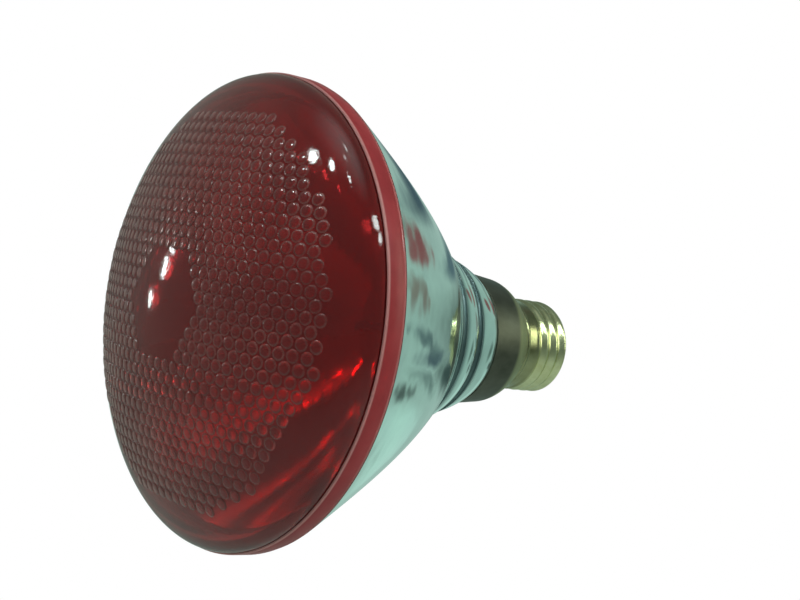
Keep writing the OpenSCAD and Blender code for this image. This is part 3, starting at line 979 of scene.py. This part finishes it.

# %% [markdown]
# The bowl is clear glass with aluminium on its inside. Seen from outside it is a mirror under
# glass: bright, slightly green, rippled where the mould was, and cloudy in patches. A metal with a
# thin clear coat shows that with one surface. Round the two rings the colour is darkened, a painted
# shade in the grooves, and the roughness rises there, so they are dull.

# %% Silvered glass
SILVER = [
    (0.25, (0.42, 0.52, 0.50)),
    (0.42, (0.56, 0.70, 0.66)),
    (0.6, (0.66, 0.84, 0.77)),
    (0.8, (0.74, 0.92, 0.85)),
]
RING_SHADE = (0.22, 0.27, 0.29)
silver = finish("silvered_glass", Metallic=1.0, Coat_Weight=0.35, Coat_Roughness=0.08)
tint = colours(silver, noise(silver, 34, 4, 0.6), SILVER)
# Painted shade: the colour is darkened in belts round the two moulded rings.
tint = toned(silver, belt(silver, S_NECK_TOP + 0.6, 2.2, 2.6), tint, RING_SHADE, "MULTIPLY")
tint = toned(silver, belt(silver, S_NECK_MID, 1.2, 0.8), tint, RING_SHADE, "MULTIPLY")
paint(silver, tint)
folds = node(silver, "ShaderNodeMath", operation="ADD")
join(silver, belt(silver, S_NECK_TOP - RING_W / 2, 1.0, 0.6), folds.inputs[0])
join(silver, belt(silver, S_NECK_MID, 0.9, 0.5), folds.inputs[1])
rub(silver, folds.outputs[0], 0.07, 0.5)
bump(silver, noise(silver, 65, 2), 0.35, 0.0007)
dress(bowl, silver)
print("rings at", round(S_NECK_TOP - RING_W / 2, 2), "and", round(S_NECK_MID, 2), "mm")

# %% [markdown]
# Brass dulls with heat: the skirt has gone brown, but for a golden belt next to the screw shell,
# which is partly brass worn bright and partly a painted reflection, while the thread is still
# polished by sockets. The collar above the thread is darkened, a painted shade where it catches
# less light.

# %% Brass
BROWN = [(0.3, (0.085, 0.087, 0.066)), (0.7, (0.15, 0.155, 0.12))]
GOLD_WEAR_AND_REFLECTION = (0.30, 0.31, 0.17)
YELLOW = [(0.3, (0.60, 0.60, 0.31)), (0.7, (0.84, 0.86, 0.54))]
COLLAR_SHADE = (0.48, 0.48, 0.44)
old_brass = finish("heat_dulled_brass", Metallic=1.0)
stains = noise(old_brass, 160, 4, 0.6, (1, 0.6, 1))
tint = colours(old_brass, stains, BROWN)
# Partly painted reflection: the golden belt next to the screw shell is lighter brass that also stands
# in for light caught there.
paint(old_brass, toned(old_brass, belt(old_brass, S_NECK, 6.4, 1.8), tint, GOLD_WEAR_AND_REFLECTION))
rub(old_brass, stains, 0.4, 0.55)
bump(old_brass, noise(old_brass, 900, 2), 0.2, 0.0001)
dress(skirt, old_brass)

brass = finish("rolled_brass", Metallic=1.0)
tarnish = noise(brass, 220, 4, 0.6)
tint = colours(brass, tarnish, YELLOW)
# Painted shade: the collar above the thread is multiplied darker where it catches less light.
paint(brass, toned(brass, belt(brass, S_NECK - 2, 3, 1), tint, COLLAR_SHADE, "MULTIPLY"))
rub(brass, tarnish, 0.16, 0.34)
bump(brass, noise(brass, 1500, 2), 0.15, 0.0001)
dress(shell, brass)
print("golden belt round", round(S_NECK, 2), "mm")

# %% [markdown]
# The pieces that keep their finished mesh get their own materials too. Most of them are sealed in
# the glass, and they show only when the lamp is taken apart. They are all made the same way: one
# finish whose colour wanders between a dark and a light tone.

# %% Finishes of the inner pieces


def speckled(name, grain, dark, light, detail=3.0, **sockets):
    """A finish whose colour wanders between two tones; grain is in cycles per metre."""
    mat = finish(name, **sockets)
    paint(mat, colours(mat, noise(mat, grain, detail), [(0.3, dark), (0.7, light)]))
    return mat


metal = {"Metallic": 1.0}
nickel = speckled("nickel_steel", 200, (0.42, 0.41, 0.38), (0.58, 0.57, 0.53), **metal)
rub(nickel, noise(nickel, 300), 0.22, 0.4)
film_tones = (0.80, 0.82, 0.82), (0.9, 0.91, 0.91)
film = speckled("aluminium_film", 80, *film_tones, Roughness=0.1, **metal)
clear_tones = (0.80, 0.88, 0.85), (0.9, 0.95, 0.93)
clear = speckled("clear_glass", 200, *clear_tones, Roughness=0.04, IOR=1.5, Transmission_Weight=0.9)
wolfram_tones = (0.16, 0.16, 0.17), (0.26, 0.26, 0.27)
wolfram = speckled("tungsten", 600, *wolfram_tones, Roughness=0.35, **metal)
gold_braze = speckled("braze", 900, (0.55, 0.42, 0.2), (0.7, 0.55, 0.3), Roughness=0.3, **metal)
cement = speckled("cement", 500, (0.5, 0.46, 0.36), (0.68, 0.64, 0.52), 5, Roughness=0.9)
bump(cement, noise(cement, 1500, 4), 0.5, 0.0002)
black_tones = (0.006, 0.006, 0.008), (0.014, 0.014, 0.017)
black = speckled("black_glass", 300, *black_tones, Roughness=0.12, Coat_Weight=0.5)
bump(black, noise(black, 500, 2), 0.2, 0.0002)
copper = speckled("copper_wire", 900, (0.55, 0.24, 0.13), (0.72, 0.36, 0.2), Roughness=0.3, **metal)
tin = speckled("solder", 900, (0.34, 0.34, 0.35), (0.55, 0.55, 0.56), **metal)
rub(tin, noise(tin, 1200), 0.25, 0.5)
bump(tin, noise(tin, 1300, 2), 0.4, 0.0002)
print("materials:", len(bpy.data.materials))

# %% [markdown]
# Dressing a finished piece swaps only its material slot. Its mesh and its place are the
# construction's own and are left alone.

# %% Inner pieces
KEPT = {
    "mirror_film": film,
    "ferrule_left": nickel,
    "ferrule_right": nickel,
    "braze_left": gold_braze,
    "braze_right": gold_braze,
    "post_left": nickel,
    "post_right": nickel,
    "filament": wolfram,
    "bridge_bead": clear,
    "support_hook": wolfram,
    "exhaust_tube": clear,
    "basing_cement": cement,
    "insulator": black,
    "contact_disc": brass,
    "contact_solder": tin,
    "centre_lead": copper,
    "fuse_sleeve": clear,
    "side_lead": copper,
    "side_solder": tin,
}
for name, mat in KEPT.items():
    dress(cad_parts[name], mat)
print("kept pieces:", len(KEPT))
